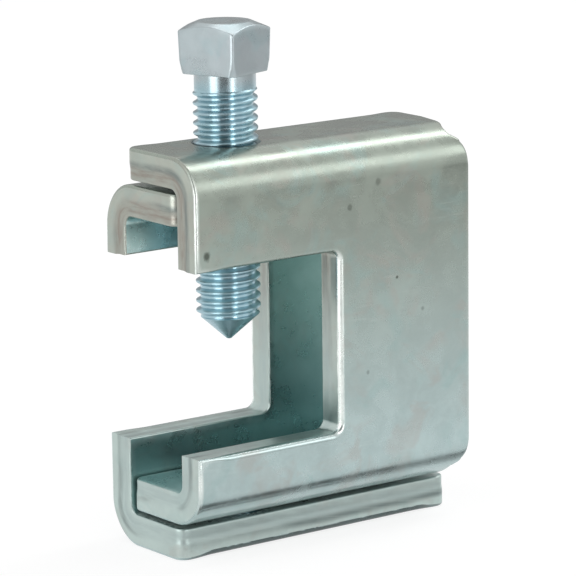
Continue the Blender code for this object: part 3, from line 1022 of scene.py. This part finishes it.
def skin_group():
    """The plated skin: roughness from clear to clouded, and a normal of waves and grain.

    Hollow, from 0 to 1, presses scratches and specks into it.
    """
    group, given, result = new_group(
        "plated_skin", {"Cloud": 0.5, "Hollow": 0.0, "Clear": 0.2, "Clouded": 0.35},
        {"Roughness": 0.0, "Normal": ORIGIN})
    grain = noise(group, given["Position"], GRAIN_SCALE, 2.0, 0.5)
    mixed = math_node(group, "ADD", product(group, given["Cloud"], 0.7),
                      product(group, grain, 0.3))
    reach = math_node(group, "SUBTRACT", given["Clouded"], given["Clear"])
    rough = product(group, span(group, mixed, 0.2, 0.8, smooth=False), reach)
    feed(group, result["Roughness"], math_node(group, "ADD", rough, given["Clear"]))
    waves = noise(group, given["Position"], WAVE_SCALE, 3.0, 0.5, 0.5)
    pressed = product(group, given["Hollow"], -1.0)
    under = {}
    for height, depth in ((waves, WAVE_DEPTH), (grain, GRAIN_DEPTH), (pressed, HOLLOW_DEPTH)):
        bump = add(group, "ShaderNodeBump", {"Height": height, "Distance": depth, **under})
        under = {"Normal": bump.outputs["Normal"]}
    feed(group, result["Normal"], under["Normal"])
    return group


def along_edge(tree, position, through):
    """Coordinates that change slowly along a cut edge and fast through the plate."""
    slow = vector_node(tree, "SCALE", position, EDGE_DRAW)
    fast = add(tree, "ShaderNodeCombineXYZ", {"X": product(tree, through, PLATE)}).outputs[0]
    return vector_node(tree, "ADD", slow, fast)


def torn_band(tree, position, through, grain, colour, torn):
    """Colour of a cut edge: the torn half with its streaks, and a darker seam at its start."""
    wander = math_node(tree, "SUBTRACT", noise(tree, position, WANDER_SCALE, 2.0, 0.5), 0.5)
    place = math_node(tree, "ADD", through, product(tree, wander, TEAR_WANDER))
    band = product(tree, span(tree, place, 0.3, 0.65), span(tree, place, 0.75, 1.0, 1.0, 0.3))
    streaks = span(tree, grain, 0.3, 0.7, 0.35, 0.9)
    colour = mix_colour(tree, product(tree, band, streaks), colour, torn)
    seam = product(tree, span(tree, place, 0.28, 0.46), span(tree, place, 0.46, 0.66, 1.0, 0.0))
    broken = product(tree, span(tree, noise(tree, position, SEAM_SCALE, 2.0), 0.4, 0.62),
                     span(tree, grain, 0.35, 0.6, 0.4, SEAM_SHARE))
    return mix_colour(tree, product(tree, seam, broken), colour, SEAM_COLOUR)


def zinc_material(name, groups, low, high, dark=0.8, heights=(10, 74), tints=PLATE_TINTS,
                  tint_share=0.35, patch_scale=220.0, metallic=0.9, rough=(0.2, 0.34),
                  scuff=0.0, stretch=ALONG_X, edge=None, matt_painted_light=None, edge_width=1.0,
                  torn=None, specks=()):
    """Zinc-plated steel.

    low and high are its colours at two heights in millimetres, tints its warm and cool
    stains, rough its roughness from clear to clouded, scuff how far scratches lighten it.
    edge is the painted highlight colour within edge_width millimetres of an edge, and dull the
    colour of an edge's matt painted tone. torn is the two colours, by height, of the torn half of
    a cut edge, and specks are (x, y, z, radius, share) in millimetres.
    """
    material, tree, shader = new_nodes(name)
    position = add(tree, "ShaderNodeTexCoord").outputs["Object"]

    def mark(label):
        return add(tree, "ShaderNodeAttribute", attribute_name=label).outputs["Fac"]

    def by_height(below, above, between):
        return use_group(tree, groups["height"], position, {
            "Low": below, "High": above,
            "From": between[0] * MM, "To": between[1] * MM})["Colour"]

    patina = use_group(tree, groups["patina"], position, {
        "Base": by_height(low, high, heights), "Dark": dark, "Warm": tints[0],
        "Cool": tints[1], "Tint Share": tint_share, "Patch Scale": patch_scale})
    through = mark("through") if torn else None
    lines_place = along_edge(tree, position, through) if torn else position
    scuffs = use_group(tree, groups["scuffs"], lines_place, {"Stretch": stretch})
    scratched = product(tree, scuffs["Mask"], scuff)
    colour = mix_colour(tree, scratched, patina["Colour"], SCRATCH_COLOUR)
    if torn:
        colour = torn_band(tree, position, through, scuffs["Grain"], colour,
                           by_height(*torn, TORN_HEIGHTS))
    # Painted light at the edges: the edge colour is a painted highlight, and the dull colour a
    # matt painted tone on edges that are also made less metallic
    if edge:
        edge_light = use_group(tree, groups["edge_light"], position, {
            "From Edge": mark("from_edge"), "Edge Lighting": mark("worn"), "Width": edge_width * MM})
        colour = mix_colour(tree, edge_light["Painted Highlight"], colour, edge)
        colour = mix_colour(tree, edge_light["Matt Painted Light"], colour, matt_painted_light)
        loss = product(tree, edge_light["Matt Painted Light"], MATT_LOSS)
        metallic = math_node(tree, "SUBTRACT", metallic, loss)
    hollow = product(tree, scratched, SCRATCH_HOLLOW)
    for *centre, radius, share in specks:
        speck = use_group(tree, groups["speck"], position, {
            "Centre": [value * MM for value in centre], "Radius": radius * MM})
        mask = product(tree, speck["Mask"], share)
        colour = mix_colour(tree, mask, colour, SPECK_COLOUR)
        hollow = math_node(tree, "ADD", hollow, mask)
    skin = use_group(tree, groups["skin"], position, {
        "Cloud": patina["Cloud"], "Hollow": hollow, "Clear": rough[0], "Clouded": rough[1]})
    for label, value in (("Base Color", colour), ("Metallic", metallic),
                         ("Roughness", skin["Roughness"]), ("Normal", skin["Normal"])):
        feed(tree, shader.inputs[label], value)
    return material


def make_materials():
    """The finishes: outer faces, inner faces, cut edges and threads of the halves; screw."""
    groups = {"height": height_group(), "patina": patina_group(), "scuffs": scuff_group(),
              "speck": speck_group(), "edge_light": painted_edge_light_group(), "skin": skin_group()}
    face = -OUTER_FACE / MM
    # Outer faces: the colour darkens from low down to the top, painted shade; the edge colour is
    # a painted highlight and the dull colour a painted dark shade on the free edges
    outer = zinc_material(
        "zinc_outer_face", groups, linear(188, 207, 207), linear(158, 167, 157),
        tint_share=0.3, patch_scale=170.0, scuff=0.1, edge=linear(240, 246, 242),
        matt_painted_light=linear(58, 70, 70), edge_width=1.1,
        specks=[(x, face, z, radius, share) for x, z, radius, share in FACE_SPECKS])
    # Inner faces: the colour is darker low down, painted shade; the edge colour is a painted
    # highlight, and the dull colour painted light on the flange that lines the gap between the
    # halves
    inner = zinc_material(
        "zinc_inner_face", groups, linear(146, 180, 179), linear(179, 208, 204), dark=0.84,
        heights=(20, 46), tint_share=0.15, rough=(0.26, 0.38),
        edge=linear(212, 224, 221), matt_painted_light=linear(196, 210, 207), edge_width=2.0)
    cut = zinc_material(
        "zinc_cut_edge", groups, linear(194, 210, 206), linear(182, 188, 178), dark=0.88,
        tint_share=0.2, metallic=0.85, rough=(0.28, 0.44), scuff=0.12,
        stretch=(1.0, 1.0, 1.0), torn=(linear(172, 188, 186), linear(144, 136, 127)))
    thread = zinc_material(
        "zinc_thread", groups, linear(120, 150, 156), linear(110, 136, 142), dark=0.7,
        metallic=0.92, rough=(0.26, 0.4))
    screw = {"heights": (89.5, 93.5), "dark": 0.88, "tint_share": 0.2, "metallic": 0.96,
             "tints": (linear(172, 172, 178), linear(140, 178, 184)), "scuff": 0.1,
             "stretch": (1.0, 1.0, 0.1), "specks": [NECK_SPECK]}
    head = zinc_material("zinc_screw_head", groups, linear(160, 190, 200),
                         linear(174, 185, 188), rough=(0.24, 0.34), **screw)
    shank = zinc_material("zinc_screw_shank", groups, linear(168, 199, 209),
                          linear(174, 185, 188), rough=(0.26, 0.34), **screw)
    # Rolling left the thread's gloss drawn out along the screw
    shader = shank.node_tree.nodes["Principled BSDF"]
    shader.inputs["Anisotropic"].default_value = 0.85
    shader.inputs["Anisotropic Rotation"].default_value = 0.25
    return {"plate": [outer, inner, cut, thread], "screw": [head, shank]}


# Pieces

def cut_holes(obj, cutter):
    """Cut the tapped holes into a half and keep the result as its own plain mesh."""
    modifier = obj.modifiers.new("tapped_holes", "BOOLEAN")
    modifier.object = cutter
    modifier.operation = "DIFFERENCE"
    modifier.solver = "EXACT"
    bpy.context.view_layer.update()
    graph = bpy.context.evaluated_depsgraph_get()
    mesh = bpy.data.meshes.new_from_object(obj.evaluated_get(graph))
    mesh.name = obj.name
    obj.modifiers.clear()
    obj.data = mesh
    shade_smoothly(mesh)


def make_halves(materials):
    """The two halves of the clamp, which stand for the solids of the same place."""
    grids = stamping_grids()
    lower = tap_grids(-TAP_OVERRUN, NEAR_LOW.z + PLATE + TAP_OVERRUN, -1)
    upper = tap_grids(HEIGHT - NEAR_LOW.z - PLATE - TAP_OVERRUN, HEIGHT + TAP_OVERRUN, 1)
    cutter = mesh_object("tap", lower + upper, materials)
    halves = {"near": grids, "far": turned_over(grids)}
    for side, shape in halves.items():
        half = mesh_object(f"{side}_half_steel", shape, materials)
        cut_holes(half, cutter)
        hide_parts(f"{side}_clamp_half")
        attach(half, "clamp_body")
    bpy.data.objects.remove(cutter)


def make_screw(materials):
    """The set screw, which stands for its solid."""
    screw = mesh_object("set_screw_steel", screw_grids(), materials)
    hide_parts("set_screw")
    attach(screw, "screw")


# Studio

def direction(azimuth, elevation):
    """Unit vector towards an azimuth from -Y, to the right, and an elevation, in degrees."""
    turn, rise = math.radians(azimuth), math.radians(elevation)
    return Vector((math.sin(turn) * math.cos(rise), -math.cos(turn) * math.cos(rise),
                   math.sin(rise)))


def make_camera():
    """The camera at the photograph's place, turned by azimuth, elevation and roll."""
    turn, roll = math.radians(CAMERA_AZIMUTH), math.radians(CAMERA_ROLL)
    back = direction(CAMERA_AZIMUTH, CAMERA_ELEVATION)
    level = Vector((math.cos(turn), math.sin(turn), 0))
    upright = back.cross(level)
    right = math.cos(roll) * level + math.sin(roll) * upright
    up = -math.sin(roll) * level + math.cos(roll) * upright
    data = bpy.data.cameras.new("camera")
    data.lens = CAMERA_LENS
    data.sensor_width = CAMERA_SENSOR
    data.clip_start, data.clip_end = CAMERA_CLIP
    camera = bpy.data.objects.new("camera", data)
    camera.matrix_world = Matrix.Translation(CAMERA_PLACE) @ Matrix(
        (right, up, back)).transposed().to_4x4()
    bpy.context.scene.collection.objects.link(camera)
    bpy.context.scene.camera = camera


def seen_directly(tree):
    """1 for rays from the camera, from gloss and from glass, else 0."""
    path = add(tree, "ShaderNodeLightPath").outputs
    first = math_node(tree, "MAXIMUM", path["Is Camera Ray"], path["Is Glossy Ray"])
    return math_node(tree, "MAXIMUM", first, path["Is Transmission Ray"])


def make_world():
    """White where it is seen, and a soft grey light on all that is matt."""
    world = bpy.data.worlds.new("studio")
    bpy.context.scene.world = world
    world.use_nodes = True
    tree = world.node_tree
    background = tree.nodes["Background"].inputs
    feed(tree, background["Color"], (1, 1, 1, 1))
    strength = span(tree, seen_directly(tree), 0, 1, WORLD_LIGHT, 1.0, smooth=False)
    feed(tree, background["Strength"], strength)


def studio_sheet(name, size, grey):
    """A flat rectangle round the origin, of a grey that mirrors nothing and glows white."""
    x, y = size[0] / 2, size[1] / 2
    mesh = bpy.data.meshes.new(name)
    mesh.from_pydata([(-x, -y, 0), (x, -y, 0), (x, y, 0), (-x, y, 0)], [], [(0, 1, 2, 3)])
    material, tree, shader = new_nodes(name)
    shader.inputs["Base Color"].default_value = (grey, grey, grey, 1)
    shader.inputs["Specular IOR Level"].default_value = 0.0
    shader.inputs["Emission Color"].default_value = (1, 1, 1, 1)
    mesh.materials.append(material)
    sheet = bpy.data.objects.new(name, mesh)
    bpy.context.scene.collection.objects.link(sheet)
    return sheet, tree, shader


def make_floor():
    """A wide white floor that keeps a soft shadow: part of its white is its own."""
    floor, tree, shader = studio_sheet("floor", FLOOR_SIZE, FLOOR_SHARE)
    shader.inputs["Roughness"].default_value = 1.0
    glow = product(tree, seen_directly(tree), FLOOR_GLOW)
    feed(tree, shader.inputs["Emission Strength"], glow)


def add_card(name, size, brightness):
    """A studio card of an even grey, which only the metal's reflections show."""
    card, tree, shader = studio_sheet(name, size, 0.0)
    shader.inputs["Emission Strength"].default_value = brightness
    for kind in ("camera", "diffuse", "transmission", "shadow"):
        setattr(card, f"visible_{kind}", False)
    return card


def add_lamp(name, size, radiance):
    """A soft rectangular lamp; its power is radiance times pi times its area."""
    data = bpy.data.lights.new(name, "AREA")
    data.shape = "RECTANGLE"
    data.size, data.size_y = size
    data.energy = radiance * math.pi * size[0] * size[1]
    lamp = bpy.data.objects.new(name, data)
    lamp.visible_camera = False
    bpy.context.scene.collection.objects.link(lamp)
    return lamp


def place_facing(obj, azimuth, elevation, distance):
    """Set an object in a direction from the clamp's middle, with its +Z away from it."""
    away = direction(azimuth, elevation)
    obj.location = Vector((0, 0, HEIGHT / 2)) + away * distance
    obj.rotation_euler = away.to_track_quat("Z", "Y").to_euler()


def make_lamps():
    """Lamps and cards where the photograph's bands on the screw and the folds put them."""
    for name, *place, size, radiance in LAMPS:
        place_facing(add_lamp(name, size, radiance), *place)
    for name, *place, size, brightness in CARDS:
        place_facing(add_card(name, size, brightness), *place)
    # Dark strips on the floor, seen only in reflections: a painted contact shadow
    for name, width, y in STRIPS:
        strip = add_card(name, (STRIP_LENGTH, width), STRIP_BRIGHTNESS)
        strip.location = (STRIP_X, y, STRIP_HEIGHT)


def make_studio():
    """Camera, world, floor and lamps, with colours shown as they are."""
    bpy.context.scene.view_settings.view_transform = "Standard"
    make_camera()
    make_world()
    make_floor()
    make_lamps()


finishes = make_materials()
make_halves(finishes["plate"])
make_screw(finishes["screw"])
make_studio()
